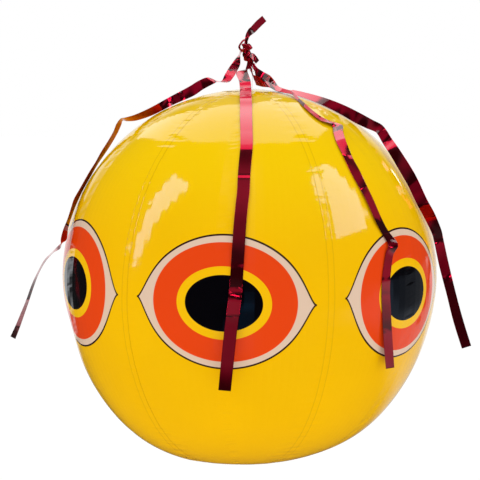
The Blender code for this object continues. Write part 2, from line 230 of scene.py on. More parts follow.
def direction(azimuth, elevation):
    """A direction from the ball: azimuth 0 is the camera's side and 90 the right."""
    a = math.radians(azimuth)
    e = math.radians(elevation)
    return Vector((math.cos(e) * math.sin(a), -math.cos(e) * math.cos(a), math.sin(e)))


def light_panel(name, strength, corners):
    """A flat lit panel whose corners lie at these azimuths and elevations from the ball's middle."""
    rays = [direction(*corner) for corner in corners]
    middle = sum(rays, Vector()).normalized()
    data = bpy.data.meshes.new(name)
    points = [ball_centre + ray * (panel_distance / ray.dot(middle)) for ray in rays]
    data.from_pydata(points, [], [range(len(points))])
    material = bpy.data.materials.new(name)
    material.use_nodes = True
    material.node_tree.nodes.clear()
    graph = Graph(material.node_tree)
    glow = graph.node("ShaderNodeEmission", inputs={"Strength": strength})
    graph.node("ShaderNodeOutputMaterial", inputs={"Surface": glow})
    panel = new_object(name, data, material)
    panel.visible_camera = False
    panel.visible_diffuse = False
    panel.visible_shadow = False


light_panel("panel_right", 6.1, [(50, 23), (78, 24), (84, 30), (92, 55), (82, 58), (60, 55)])
light_panel("panel_left", 6.7, [
    (-78, 53), (-55, 53), (-56, 46), (-61, 35), (-63, 22), (-67, 7), (-73, 6), (-73, 13), (-73, 28),
    (-77, 43)])
light_panel("panel_far_right", 4.9, [(136, 25), (139, 22), (132, 19), (126, 21)])
light_panel("panel_above", 1.75, [
    (-146, 29), (-128, 47), (-106, 68), (-20, 88), (106, 73), (125, 59), (142, 47), (161, 35), (167, 36),
    (-179, 52), (-164, 48), (-156, 44), (-155, 33), (-153, 27)])

world = bpy.data.worlds.new("studio")
world.use_nodes = True
bpy.context.scene.world = world
world.node_tree.nodes.clear()
graph = Graph(world.node_tree)
sideways, depth, height = graph.split(graph.node("ShaderNodeTexCoord", output="Generated"))
paths = graph.node("ShaderNodeLightPath").socket.node.outputs
seen = Value(graph, paths["Is Camera Ray"])
scattered = Value(graph, paths["Is Diffuse Ray"])
strip = strip_level
for change, low, high in strip_changes:
    strip = change * graph.smooth(height, low, high) + strip
strip = strip * (1 - graph.smooth(abs(sideways - strip_place), *strip_edges))
wall = graph.smooth(depth, *wall_depths) * (1 - graph.smooth(height, *wall_heights))
room = room_level + strip + (wall_level - room_level) * wall
fill = fill_level + fill_slope * height
level = room + scattered * (fill - room)
level = level + seen * (1 - level)
sky = graph.node("ShaderNodeBackground", inputs={"Color": (1, 1, 1, 1), "Strength": level})
graph.node("ShaderNodeOutputWorld", inputs={"Surface": sky})

floor_height = -0.520
floor_reach = 12.0
floor_whiteness = 0.86
mirrored_level = 0.04
floor_strip_level = 0.27
floor_strip_edges = (0.05, 0.16)
floor_strip_end = (-0.6, -0.4)
far_strip_level = 0.37
far_strip_start = (-1.3, -1.7)
far_strip_end = (-2.0, -2.6)
beside_level = 0.5
beside_start = (0.6, 1.1)
beside_middle = -0.35
beside_edges = (0.3, 0.6)
low_right_level = 0.5
low_right_slant = 0.8
low_right_start = (0.3, 0.6)
low_right_loss = 0.7
low_right_reach = (0.8, 1.5)
behind_level = 0.85
behind_edges = (-0.1, 0.35)
behind_start = (0.5, 0.9)


def new_shader(name, **constants):
    """A material with these constants on its Principled shader, its graph and the shader's sockets."""
    material = bpy.data.materials.new(name)
    material.use_nodes = True
    shader = material.node_tree.nodes["Principled BSDF"]
    for key, value in constants.items():
        shader.inputs[key.replace("_", " ")].default_value = value
    return material, Graph(material.node_tree), shader.inputs


material, graph, sockets = new_shader(
    "pale_floor", Base_Color=(0.92, 0.92, 0.92, 1), Roughness=0.8, Emission_Color=(1, 1, 1, 1),
    Emission_Strength=0.24)
pale = Value(graph, material.node_tree.nodes["Principled BSDF"].outputs[0])
paths = graph.node("ShaderNodeLightPath").socket.node.outputs
white = graph.node("ShaderNodeEmission")
sideways, depth, height = graph.split(graph.place())
strip = 1 - graph.smooth(abs(sideways - strip_place), *floor_strip_edges)
strip = strip * (1 - graph.smooth(depth, *floor_strip_end))
far_strip = graph.smooth(depth, *far_strip_start) - graph.smooth(depth, *far_strip_end)
strip = strip * (floor_strip_level + far_strip_level * far_strip)
beside = beside_level * graph.smooth(sideways, *beside_start)
beside = beside * (1 - graph.smooth(abs(depth - beside_middle), *beside_edges))
low_right = low_right_level * graph.smooth(low_right_slant * sideways + depth, *low_right_start)
low_right = low_right * (1 - low_right_loss * graph.smooth(sideways, *low_right_reach))
behind = behind_level * graph.smooth(depth - abs(sideways), *behind_edges)
behind = behind * graph.smooth(depth, *behind_start)
level = mirrored_level + strip + beside.most(low_right).most(behind)
dim = graph.node("ShaderNodeEmission", inputs={"Strength": level})
mirrored = Value(graph, paths["Is Glossy Ray"])
surface = graph.node("ShaderNodeMixShader", inputs={0: mirrored, 1: pale, 2: dim})
seen = Value(graph, paths["Is Camera Ray"]) * floor_whiteness
surface = graph.node("ShaderNodeMixShader", inputs={0: seen, 1: surface, 2: white})
graph.feed(material.node_tree.nodes["Material Output"].inputs["Surface"], surface)
data = bpy.data.meshes.new("floor")
corners = ((-1, -1), (1, -1), (1, 1), (-1, 1))
data.from_pydata([(x * floor_reach, y * floor_reach, floor_height) for x, y in corners], [], [range(4)])
new_object("floor", data, material)


# The ball's skin: six printed gores of glossy film. Each laps over the next at a narrow welded seam,
# where the film puckers, because the flat gore's edge is longer than its middle line.
film = 0.0001
gore_count = 6
first_gore_azimuth = -7.0
lap_width = 0.0065
lap_step = 0.0040
tuck = 1.5 * film
gore_tip_fall = 5.0
gore_rows = 220
gore_columns = 35
pucker_depth = 0.0005
pucker_reach = 0.013
pucker_length = 0.008
pucker_stretch = 3
pucker_range = (0.3, 0.75)
wave_depth = 0.0005
wave_length = 0.11
patch_fall = 9.2
patch_clear_share = 1.3
# Where the blown ball is fuller or flatter than round: azimuth, fall and reach in degrees, and depth in
# shares of ball_radius
ball_swells = (
    (-64, 146, 23, 0.0390),
    (-80, 106, 9, -0.0140),
    (68, 141, 17, 0.0175),
    (80, 104, 12, -0.0060),
)


def outward(azimuth, fall):
    """A direction from the ball's middle: azimuth 0 is the camera's side, and fall is 0 at the top."""
    a = math.radians(azimuth)
    f = math.radians(fall)
    return Vector((math.sin(f) * math.sin(a), -math.sin(f) * math.cos(a), math.cos(f)))


def new_tree(name, sockets):
    """A geometry tree with these named inputs."""
    tree = bpy.data.node_groups.new(name, "GeometryNodeTree")
    for socket, kind in sockets:
        tree.interface.new_socket(socket, in_out="INPUT", socket_type="NodeSocket" + kind)
    tree.interface.new_socket("Geometry", in_out="OUTPUT", socket_type="NodeSocketGeometry")
    return tree, Graph(tree)


def finish_tree(graph, geometry):
    """Ends a tree with plain geometry and its material."""
    real = graph.node("GeometryNodeRealizeInstances", inputs={0: geometry})
    painted = graph.node("GeometryNodeSetMaterial", inputs={
        "Geometry": real, "Material": graph.node("NodeGroupInput", output="Material")})
    graph.node("NodeGroupOutput", inputs={0: painted})


def grown(name, tree, values):
    """The plain mesh that a geometry tree makes with these inputs, as a new object."""
    host = bpy.data.objects.new(name, bpy.data.meshes.new(name))
    bpy.context.scene.collection.objects.link(host)
    modifier = host.modifiers.new("tree", "NODES")
    modifier.node_group = tree
    sockets = {item.name: item.identifier for item in tree.interface.items_tree
               if item.item_type == "SOCKET" and item.in_out == "INPUT"}
    for key, value in values.items():
        modifier[sockets[key]] = value
    bpy.context.view_layer.update()
    evaluated = host.evaluated_get(bpy.context.evaluated_depsgraph_get())
    data = bpy.data.meshes.new_from_object(evaluated)
    bpy.data.objects.remove(host)
    data.name = name
    obj = bpy.data.objects.new(name, data)
    bpy.context.scene.collection.objects.link(obj)
    return obj


tree, graph = new_tree("gore_panels", (
    ("Centre", "Vector"), ("Radius", "Float"), ("Gores", "Int"), ("First azimuth", "Float"),
    ("Tip fall", "Float"), ("Rows", "Int"), ("Columns", "Int"), ("Lap", "Float"), ("Lap step", "Float"),
    ("Tuck", "Float"), ("Pucker depth", "Float"), ("Pucker reach", "Float"), ("Pucker length", "Float"),
    ("Wave depth", "Float"), ("Wave length", "Float"), ("Patch", "Float"), ("Material", "Material")))
given = {item.name: graph.node("NodeGroupInput", output=item.name) for item in tree.interface.items_tree
         if item.in_out == "INPUT"}
sheet = graph.node("GeometryNodeMeshGrid", inputs={
    "Size X": 1.0, "Size Y": 1.0, "Vertices X": given["Columns"], "Vertices Y": given["Rows"]})
across, along, flat = graph.split(graph.node("GeometryNodeInputPosition"))
fall = given["Tip fall"] + (0.5 - along) * (math.pi - 2 * given["Tip fall"])
ring = given["Radius"] * fall.math("SINE")
half = math.pi * ring / given["Gores"]
edge = half + given["Lap"] / 2
inward = (across * math.pi).math("SINE") * edge
tucked = graph.smooth(inward * -1, edge - given["Lap"] - given["Lap step"], edge - given["Lap"])
level = (given["Radius"] - given["Tuck"] * tucked) / given["Radius"]
turn = inward / ring
place = graph.join(ring * level * turn.math("SINE"), -1 * ring * level * turn.math("COSINE"),
                   given["Radius"] * level * fall.math("COSINE"))


def store(graph, geometry, name, value, domain="POINT"):
    """The geometry with these values stored on it as a field."""
    return graph.node("GeometryNodeStoreNamedAttribute", {"data_type": "FLOAT", "domain": domain},
                      {"Geometry": geometry, "Name": name, "Value": value})


def named(graph, name):
    """A field that was stored earlier in the tree."""
    return graph.node("GeometryNodeInputNamedAttribute", {"data_type": "FLOAT"}, {"Name": name})


sheet = store(graph, sheet, "across", inward)
sheet = store(graph, sheet, "up", (math.pi / 2 - fall) * given["Radius"])
sheet = store(graph, sheet, "seam", inward.math("SIGN") * (abs(inward) - half))
sheet = store(graph, sheet, "weld", abs(inward) - half)
sheet = graph.node("GeometryNodeSetPosition", inputs={"Geometry": sheet, "Position": place})
number = graph.node("GeometryNodeInputIndex")
spin = graph.join(0.0, 0.0, given["First azimuth"] + number * math.tau / given["Gores"])
spots = graph.node("GeometryNodeMeshLine", inputs={"Count": given["Gores"], "Offset": (0, 0, 0)})
gores = graph.node("GeometryNodeInstanceOnPoints", inputs={
    "Points": spots, "Instance": sheet, "Rotation": spin})
gores = store(graph, gores, "gore", number, "INSTANCE")
gores = graph.node("GeometryNodeRealizeInstances", inputs={0: gores})
position = graph.node("GeometryNodeInputPosition")
x, y = graph.split(position)[:2]
seam = named(graph, "seam")
up = named(graph, "up")
off_seam = seam / given["Pucker reach"]
near_seam = (off_seam * off_seam * -1).math("EXPONENT")
around = x.math("ARCTAN2", y * -1)
folds = graph.join(off_seam / pucker_stretch, up / given["Pucker length"], pucker_stretch * around)
pucker = graph.smooth(graph.noise(folds, 1.0, 1.0), *pucker_range) * near_seam
rolling = graph.node("ShaderNodeVectorMath", {"operation": "SCALE"}, {
    0: position, "Scale": 1 / given["Wave length"]})
wave = 2 * given["Wave depth"] * (graph.noise(rolling, 1.0, 0.0) - 0.5)
outwards = graph.node("ShaderNodeVectorMath", {"operation": "NORMALIZE"}, {0: position})
swell = 0.0
for azimuth, fall, reach, most in ball_swells:
    cosine = graph.node("ShaderNodeVectorMath", {"operation": "DOT_PRODUCT"},
                        {0: outwards, 1: outward(azimuth, fall)}, output="Value")
    off = cosine.least(1.0).math("ARCCOSINE") / math.radians(reach)
    swell = most * (off * off * -1).math("EXPONENT") + swell
clear = math.pi / 2 - abs(graph.split(outwards)[2]).math("ARCSINE")
clear = graph.smooth(clear, given["Patch"], 2 * given["Patch"])
rise = clear * (given["Radius"] * swell + wave) - given["Pucker depth"] * pucker
moved = graph.node("ShaderNodeVectorMath", {"operation": "SCALE"}, {0: outwards, "Scale": rise})
gores = graph.node("GeometryNodeSetPosition", inputs={"Geometry": gores, "Offset": moved})
gores = graph.node("GeometryNodeTransform", inputs={"Geometry": gores, "Translation": given["Centre"]})
finish_tree(graph, gores)

# Print of one gore in metres: an eye with its outline, white, iris, yellow ring and pupil
outline_size = (0.0885, 0.0651)
iris_size = (0.0706, 0.0579)
ring_size = (0.0458, 0.0351)
pupil_size = (0.0374, 0.0270)
outline_width = 0.0018
ink_softness = 0.00015
outline_power = 0.74
tip_power = 0.5
tip_sharpness = 8
least_share = 0.0005
# How far each gore's print is off its place: right, up, turn in degrees, share of the full width
print_shifts = {
    0: (0.0002, 0.0003, -1.0, 1.0),
    1: (-0.0061, 0.0018, -1.33, 0.94),
    5: (0.0095, 0.0022, -0.92, 0.97),
}
usual_shift = (0.0002, 0.0003, -1.0, 0.98)
film_colour = (0.90, 0.50, 0.0005, 1)
thin_film_colour = (0.873, 0.48, 0.0005, 1)
# Painted light: the next colour is the lighter, more lemon yellow that the film is painted with towards the
# top, where light is strongest
painted_light_film_colour = (0.94, 0.60, 0.0005, 1)
# The next colour is partly the welds' own darker line and partly a painted contact shadow along the lapped
# edge
weld_line_and_shadow_colour = (0.50, 0.24, 0.0005, 1)
white_colour = (0.73, 0.53, 0.39, 1)
iris_colour = (0.78, 0.058, 0.004, 1)
pupil_colour = (0.002, 0.001, 0.0015, 1)
line_colour = (0.030, 0.009, 0.006, 1)
painted_light_heights = (0.03, 0.17)
cloud_scale = 9.0
cloud_range = (0.35, 0.65)
film_gloss = 0.045
gloss_loss = 0.03
grain_scale = 60.0
weld_line_and_shadow_share = 0.3
ridge_edges = (0.0003, 0.0008)
ridge_height = 0.00005
ripple_height = 0.00003
ripple_scale = 45.0


def attribute(graph, name):
    """A field that is stored on the mesh."""
    return graph.node("ShaderNodeAttribute", {"attribute_name": name}, output="Fac")


def emboss(graph, sockets, height):
    """Relief of this height in metres in the material."""
    bump = graph.node("ShaderNodeBump", inputs={"Distance": 1.0, "Height": height})
    graph.feed(sockets["Normal"], bump)


def oval(graph, x, y, size):
    """0 inside an oval of these half sizes and 1 outside."""
    wide = x / size[0]
    high = y / size[1]
    distance = (wide * wide + high * high).math("SQRT")
    soft = ink_softness / size[1]
    return graph.smooth(distance, 1 - soft, 1 + soft)


yellow_film, graph, sockets = new_shader("yellow_film", IOR=1.5, Specular_Tint=(0.1, 0.35, 0.7, 1))
x = attribute(graph, "print_across")
y = attribute(graph, "print_up")
share = (abs(x) / outline_size[0]).least(1.0)
room_left = (1 - share * share).most(least_share)
power = outline_power + tip_power * share ** tip_sharpness
rise = outline_size[1] * room_left ** power
slope = 2 * share * power / (outline_size[0] * room_left) * rise
off_line = (abs(y) - rise) / (1 + slope * slope).math("SQRT")
off_line = off_line.most(abs(x) - outline_size[0])
inside = 1 - graph.smooth(off_line, -ink_softness, ink_softness)
line = 1 - graph.smooth(abs(off_line), outline_width / 2 - ink_softness, outline_width / 2 + ink_softness)
cloud = graph.noise(graph.place(), cloud_scale, 3.0)
colour = graph.mix(graph.smooth(cloud, *cloud_range), thin_film_colour, film_colour)
# Painted light: the film is painted lighter and more lemon towards the top of the ball
colour = graph.mix(graph.smooth(attribute(graph, "up"), *painted_light_heights), colour, painted_light_film_colour)
colour = graph.mix(inside, colour, white_colour)
colour = graph.mix(inside * (1 - oval(graph, x, y, iris_size)), colour, iris_colour)
colour = graph.mix(inside * (1 - oval(graph, x, y, ring_size)), colour, film_colour)
colour = graph.mix(inside * (1 - oval(graph, x, y, pupil_size)), colour, pupil_colour)
colour = graph.mix(line, colour, line_colour)
grain = graph.noise(graph.place(), grain_scale, 2.0)
graph.feed(sockets["Roughness"], film_gloss + gloss_loss * (inside + grain))
# Darker lines at both edges of each lap: partly the weld's own colour, partly a painted contact shadow where
# the upper layer's edge lies
weld = attribute(graph, "weld")
ridge = 1 - graph.smooth(abs(abs(weld) - lap_width / 2), *ridge_edges)
graph.feed(sockets["Base Color"], graph.mix(weld_line_and_shadow_share * ridge, colour, weld_line_and_shadow_colour))
ripple = graph.noise(graph.place(), ripple_scale, 1.0)
emboss(graph, sockets, ridge_height * ridge + ripple_height * ripple)

gores = grown("gore_panels", tree, {
    "Centre": ball_centre, "Radius": ball_radius, "Gores": gore_count,
    "First azimuth": math.radians(first_gore_azimuth), "Tip fall": math.radians(gore_tip_fall),
    "Rows": gore_rows, "Columns": gore_columns, "Lap": lap_width, "Lap step": lap_step,
    "Tuck": tuck, "Pucker depth": pucker_depth, "Pucker reach": pucker_reach,
    "Pucker length": pucker_length, "Wave depth": wave_depth, "Wave length": wave_length,
    "Patch": math.radians(patch_fall * patch_clear_share), "Material": yellow_film})


def read_field(data, name):
    values = np.empty(len(data.vertices), np.float32)
    data.attributes[name].data.foreach_get("value", values)
    return values


def write_field(data, name, values):
    data.attributes.new(name, "FLOAT", "POINT").data.foreach_set("value", np.asarray(values, np.float32))


across = read_field(gores.data, "across")
up = read_field(gores.data, "up")
gore = read_field(gores.data, "gore").round().astype(int)
shifts = np.array([print_shifts.get(i, usual_shift) for i in range(gore_count)])[gore]
turn = np.radians(shifts[:, 2])
right = across - shifts[:, 0]
above = up - shifts[:, 1]
write_field(gores.data, "print_across", (right * np.cos(turn) + above * np.sin(turn)) / shifts[:, 3])
write_field(gores.data, "print_up", above * np.cos(turn) - right * np.sin(turn))


def solidify(obj, thickness, offset):
    modifier = obj.modifiers.new("sheet", "SOLIDIFY")
    modifier.thickness = thickness
    modifier.offset = offset


def fix(obj, body, slot, *nodes):
    """Hangs a finished piece on its body and hides the solids that it stands for. The slot is not used."""
    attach(obj, body)
    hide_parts(*nodes)


solidify(gores, film, -1)
fix(gores, "ball", "yellow_film", *[f"gore_{i + 1}" for i in range(gore_count)])


# A round patch of the same film covers the gore tips at each pole. The lower one has a hole for the
# valve. Each is welded down round its edge.
turn_steps = 96
sharp_edge = math.radians(40)
patch_steps = 12
gap = 0.0003
stem_radius = 0.0045
collar_wall = 0.0009
collar_outer = stem_radius + gap + collar_wall


def turned(name, profile, material):
    """Turns a closed profile of (radius, height) about the ball's axis."""
    mesh = bmesh.new()
    rows = []
    for step in range(turn_steps):
        a = math.tau * step / turn_steps
        points = [Vector((r * math.cos(a), r * math.sin(a), z)) for r, z in profile]
        rows.append([mesh.verts.new(ball_centre + point) for point in points])
    count = len(profile)
    for here, following in zip(rows, rows[1:] + rows[:1]):
        for i in range(count):
            j = (i + 1) % count
            if profile[i][0] > 0 or profile[j][0] > 0:
                mesh.faces.new((here[i], here[j], following[j], following[i]))
    bmesh.ops.remove_doubles(mesh, verts=mesh.verts, dist=0.000001)
    bmesh.ops.recalc_face_normals(mesh, faces=mesh.faces)
    data = bpy.data.meshes.new(name)
    mesh.to_mesh(data)
    mesh.free()
    obj = new_object(name, data, material)
    data.shade_smooth()
    data.set_sharp_from_angle(angle=sharp_edge)
    return obj


def arc(radius, falls):
    """Points of a round profile at these falls from the top."""
    return [(radius * math.sin(math.radians(f)), radius * math.cos(math.radians(f))) for f in falls]


def spread(first, last, count):
    """Values from first to last in this many equal steps."""
    return [first + (last - first) * i / count for i in range(count + 1)]


inner = ball_radius + film / 2
outer = inner + film
falls = spread(0, patch_fall, patch_steps)
top_patch = turned("top_patch_film", arc(outer, falls) + arc(inner, falls[::-1]), yellow_film)
fix(top_patch, "ball", "yellow_film", "top_patch")
hole = math.degrees(math.asin((collar_outer + gap) / inner))
falls = [180 - f for f in spread(hole, patch_fall, patch_steps)]
bottom_patch = turned("bottom_patch_film", arc(inner, falls) + arc(outer, falls[::-1]), yellow_film)
fix(bottom_patch, "ball", "yellow_film", "bottom_patch")
# The patches lie far from any print and weld of the gores, at the top and bottom of the ball, and their
# height sets how much painted top light they get
for patch, height in ((top_patch, ball_radius), (bottom_patch, -ball_radius)):
    for field, value in (("print_across", 1), ("print_up", 1), ("weld", 1), ("up", height)):
        write_field(patch.data, field, np.full(len(patch.data.vertices), value))


# The hang tab: an upright tongue of clear sheet with the eyelet that the ball hangs on, and a round
# foot that is welded to the top patch.
eyelet_radius = 0.0032
eyelet_rim = 1.8
tab_width = 0.016
tab_sheet = 0.0006
tab_foot_radius = 0.014
tab_corner = 0.55
tab_edge = 0.00012
corner_steps = 10
foot_bottom = (-0.0265, -0.0255)
foot_top = (-0.0192, -0.0180)
tongue_alpha = 0.35
foot_alpha = 0.06
smear_scale = 300.0
smear_height = 0.00004
tab_gloss = 0.06
smear_loss = 0.08

clear_film, graph, sockets = new_shader("clear_film", Base_Color=(0.86, 0.88, 0.89, 1))
height = graph.split(graph.place())[2]
foot = graph.smooth(height, *foot_bottom) * (1 - graph.smooth(height, *foot_top))
graph.feed(sockets["Alpha"], tongue_alpha - (tongue_alpha - foot_alpha) * foot)
smear = graph.noise(graph.place(), smear_scale, 3.0)
graph.feed(sockets["Roughness"], tab_gloss + smear_loss * smear)
emboss(graph, sockets, smear_height * smear)


def rounded(profile, radius, steps=4):
    """A closed profile with its corners rounded, apart from those on the axis."""
    points = []
    for i, corner in enumerate(profile):
        corner = Vector(corner)
        before = Vector(profile[i - 1]) - corner
        after = Vector(profile[(i + 1) % len(profile)]) - corner
        if corner.x == 0 or radius == 0:
            points.append(tuple(corner))
            continue
        reach = min(radius, before.length / 2, after.length / 2)
        start = corner + before.normalized() * reach
        end = corner + after.normalized() * reach
        for share in spread(0, 1, steps):
            points.append(tuple(start.lerp(corner, share).lerp(corner.lerp(end, share), share)))
    return points


def joined(name, *objects):
    """One object of several, which are removed."""
    mesh = bmesh.new()
    for obj in objects:
        mesh.from_mesh(obj.data)
    data = bpy.data.meshes.new(name)
    mesh.to_mesh(data)
    mesh.free()
    material = objects[0].data.materials[0]
    for obj in objects:
        bpy.data.objects.remove(obj)
    return new_object(name, data, material)


inner = outer + film
edge = math.degrees(math.asin(tab_foot_radius / inner))
falls = spread(0, edge, patch_steps)
foot = turned("foot", rounded(arc(inner + tab_sheet, falls) + arc(inner, falls[::-1]), tab_edge), clear_film)
half = tab_width / 2
top = eyelet_radius * eyelet_rim
corner = half * tab_corner
tongue_foot = inner - ball_radius - eyelet_rise + tab_sheet / 2
outline = [(-half, tongue_foot), (half, tongue_foot)]
for side_sign in (1, -1):
    for turn in spread(0, 90, corner_steps):
        angle = math.radians(turn if side_sign > 0 else 90 - turn)
        outline.append((side_sign * (half - corner + corner * math.cos(angle)),
                        top - corner + corner * math.sin(angle)))
turns = spread(0, math.tau, turn_steps)[:-1]
rim = [(eyelet_radius * math.cos(turn), eyelet_radius * math.sin(turn)) for turn in turns]
curve = bpy.data.curves.new("tongue", "CURVE")
curve.dimensions = "2D"
curve.fill_mode = "BOTH"
curve.extrude = tab_sheet / 2 - tab_edge
curve.bevel_depth = tab_edge
curve.bevel_resolution = 2
for loop in (outline, rim):
    spline = curve.splines.new("POLY")
    spline.points.add(len(loop) - 1)
    spline.use_cyclic_u = True
    for point, (across, height) in zip(spline.points, loop):
        point.co = (across, height, 0, 1)
flat = new_object("flat", curve, clear_film)
bpy.context.view_layer.update()
data = bpy.data.meshes.new_from_object(flat.evaluated_get(bpy.context.evaluated_depsgraph_get()))
bpy.data.objects.remove(flat)
data.transform(Matrix(((0, 0, 1, 0), (1, 0, 0, 0), (0, 1, 0, 0), (0, 0, 0, 1))))
data.shade_smooth()
data.set_sharp_from_angle(angle=sharp_edge)
tongue = bpy.data.objects.new("tongue", data)
fix(joined("hang_tab_sheet", foot, tongue), "ball", "clear_film", "hang_tab")


# The air valve in the lower patch: a welded flange, a stem that pushes in flush, its plug on a short
# strap, and a check flap inside that closes on the stem. All are moulded in clear soft plastic.
stem_wall = 0.0013
stem_length = 0.018
stem_rim_width = 0.0017
stem_rim_height = 0.0010
flange_width = 0.0068
flange_sheet = 0.0006
flange_lift = 0.0009
collar_height = 0.0050
plug_reach = 0.0090
plug_head_width = 0.0029
plug_head_height = 0.0018
plug_tip_share = 0.8
plug_taper_share = 0.9
strap_width = 0.0026
strap_sheet = 0.0004
strap_bulge = 0.0042
flap_sheet = 0.0005
moulded_edge = 0.00025
skirt_steps = 4
strap_rows = 32
strap_columns = 6


def skin_height(radius, lift):
    """How far below the ball's middle a point on the skin lies at this radius."""
    return -math.sqrt((ball_radius + lift) ** 2 - radius**2)


outer = flange_lift + flange_sheet
sleeve = stem_radius + gap
flange_radius = collar_outer + flange_width
skirt = spread(collar_outer, flange_radius, skirt_steps)
flange = turned("valve_flange_moulding", rounded([
    (sleeve, -ball_radius + collar_height),
    (collar_outer, -ball_radius + collar_height),
    *[(r, skin_height(r, flange_lift)) for r in skirt],
    *[(r, skin_height(r, outer)) for r in skirt[::-1]],
    (sleeve, skin_height(sleeve, outer)),
], moulded_edge), clear_film)
fix(flange, "ball", "clear_film", "valve_flange")

stem_bore = stem_radius - stem_wall
stem_rim_radius = stem_radius + stem_rim_width
rim_top = -ball_radius - outer - gap
rim_bottom = rim_top - stem_rim_height
stem_top = rim_bottom + stem_length
stem = turned("valve_stem_moulding", rounded([
    (stem_bore, stem_top),
    (stem_radius, stem_top),
    (stem_radius, rim_top),
    (stem_rim_radius, rim_top),
    (stem_rim_radius, rim_bottom),
    (stem_bore, rim_bottom),
], moulded_edge), clear_film)
fix(stem, "stem", "clear_film", "valve_stem")

plug_radius = stem_bore - gap
plug_head_radius = plug_radius + plug_head_width
head_top = rim_bottom - gap
head_bottom = head_top - plug_head_height
plug = turned("valve_plug_moulding", rounded([
    (0, head_top + plug_reach),
    (plug_radius * plug_tip_share, head_top + plug_reach),
    (plug_radius, head_top + plug_reach * plug_taper_share),
    (plug_radius, head_top),
    (plug_head_radius, head_top),
    (plug_head_radius, head_bottom),
    (0, head_bottom),
], moulded_edge * 2), clear_film)
fix(plug, "plug", "clear_film", "valve_plug")

flap = turned("check_flap_disc", rounded([
    (0, stem_top + gap + flap_sheet),
    (stem_radius, stem_top + gap + flap_sheet),
    (stem_radius, stem_top + gap),
    (0, stem_top + gap),
], moulded_edge), clear_film)
fix(flap, "flap", "clear_film", "check_flap")

start = Vector((stem_rim_radius + gap, 0, rim_bottom + stem_rim_height / 2))
end = Vector((plug_head_radius + gap, 0, head_bottom + plug_head_height / 2))


def sheet_mesh(name, rows, material):
    """A sheet whose rows of points run along it."""
    wide = len(rows[0])
    faces = [(r * wide + c, (r + 1) * wide + c, (r + 1) * wide + c + 1, r * wide + c + 1)
             for r in range(len(rows) - 1) for c in range(wide - 1)]
    data = bpy.data.meshes.new(name)
    data.from_pydata([point for row in rows for point in row], [], faces)
    data.shade_smooth()
    return new_object(name, data, material)


rows = []
for turn in spread(0, 180, strap_rows):
    point = start.lerp(end, (1 - math.cos(math.radians(turn))) / 2)
    point.x += strap_bulge * math.sin(math.radians(turn))
    rows.append([ball_centre + point + Vector((0, y, 0))
                 for y in spread(-strap_width / 2, strap_width / 2, strap_columns)])
strap = sheet_mesh("plug_strap_band", rows, clear_film)
solidify(strap, strap_sheet, 0)
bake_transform(strap, "stem", "plug", start=ball_centre + start, end=ball_centre + end)
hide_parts("plug_strap")


# The ribbon: red metallised film, cut into ends of one width, mirror-bright and thin. It keeps the
# folds of its packing, and its colour lies under a clear glossy face.
ribbon_width = 0.012
foil = 0.00012
ribbon_steps = 16
crease = 0.1
edge_share = 0.015
ribbon_columns = 8
face_weight = 0.1
edge_weight = 0.7
edge_facing = (0.2, 0.45)
coat_loss = 0.7
foil_gloss = 0.10
scuff_scale = 160.0
scuff_loss = 0.10
crush_loss = 0.35
crinkle_scale = 150.0
crinkle_height = 0.00003

red_foil, graph, sockets = new_shader(
    "red_foil", Base_Color=(0.47, 0.004, 0.028, 1), Metallic=1.0, Coat_IOR=2.0, Coat_Roughness=0.05)
facing = graph.node("ShaderNodeLayerWeight", inputs={"Blend": 0.5}, output="Facing")
crush = attribute(graph, "crush")
slanting = edge_weight * graph.smooth(facing, *edge_facing)
graph.feed(sockets["Coat Weight"], face_weight + slanting * (1 - coat_loss * crush))
scuff = graph.noise(graph.place(), scuff_scale, 3.0)
graph.feed(sockets["Roughness"], foil_gloss + scuff_loss * scuff + crush_loss * crush)
crinkle = graph.noise(graph.place(), crinkle_scale, 2.0)
emboss(graph, sockets, attribute(graph, "relief") + crinkle_height * crinkle)

# Ribbon stations: azimuth, fall from the top, lift in shares of eyelet_rise, heading and rise of the
# width in degrees, and where it isn't whole the share of the ribbon's full width that shows
left_stations = (
    (-85.3, 2.9, 2.029, 166, 12, 0.5),
    (-81.8, 3.4, 1.811, 179, 4),
    (-79.1, 3.9, 1.643, 164, -4),
    (-80.3, 4.5, 1.342, 139, 3),
    (-81.5, 5.3, 1.097, 137, 15),
    (-83.1, 6.7, 0.734, 137, 17),
    (-84, 7.9, 0.494, 151, 12),
    (-83.8, 10.1, 0.552, -176, 5),
    (-86.1, 11.9, 0.657, 151, 40),
    (-86.8, 14.9, 0.546, 163, 57),
    (-87.4, 18.3, 0.363, 161, 63),
    (-87.3, 24.5, 0.262, 173, 49),
    (-87.3, 31.2, 0.249, 172, 137),
    (-87.2, 36, 0.425, 167, 149),
    (-87, 38.6, 0.656, 173, 159),
    (-86.7, 39.7, 0.794, 179, 166, 1.08),
    (-86.3, 41.2, 0.695, -167, 160),
    (-86, 43.5, 0.500, -170, 160),
    (-85.4, 46.7, 0.340, -173, 158),
    (-84.9, 50.1, 0.240, -173, 158),
    (-84.4, 53.7, 0.165, -178, 163),
    (-83.3, 57.2, 0.130, 180, 160),
    (-81, 62.4, 0.131, 179, 158),
    (-78.8, 65.9, 0.179, -179, 152),
    (-76.9, 68.6, 0.193, 180, 154),
    (-75, 72, 0.227, -179, 154),
    (-72.8, 74.9, 0.318, -176, 146),
    (-71.1, 77.7, 0.360, 179, 139),
    (-72.1, 79.8, 0.427, 14, 5),
    (-73, 81.9, 0.731, 1, 6),
    (-73.9, 84.5, 1.056, 1, 2),
    (-74.6, 87.8, 1.340, -4, -1),
    (-75, 91.2, 1.611, -3, -6),
    (-75.4, 95, 1.916, -3, -9),
    (-75.7, 98.4, 2.279, 0, -13),
    (-76, 101.1, 2.620, 3, -17),
    (-76.3, 103.4, 2.975, 9, -19),
)
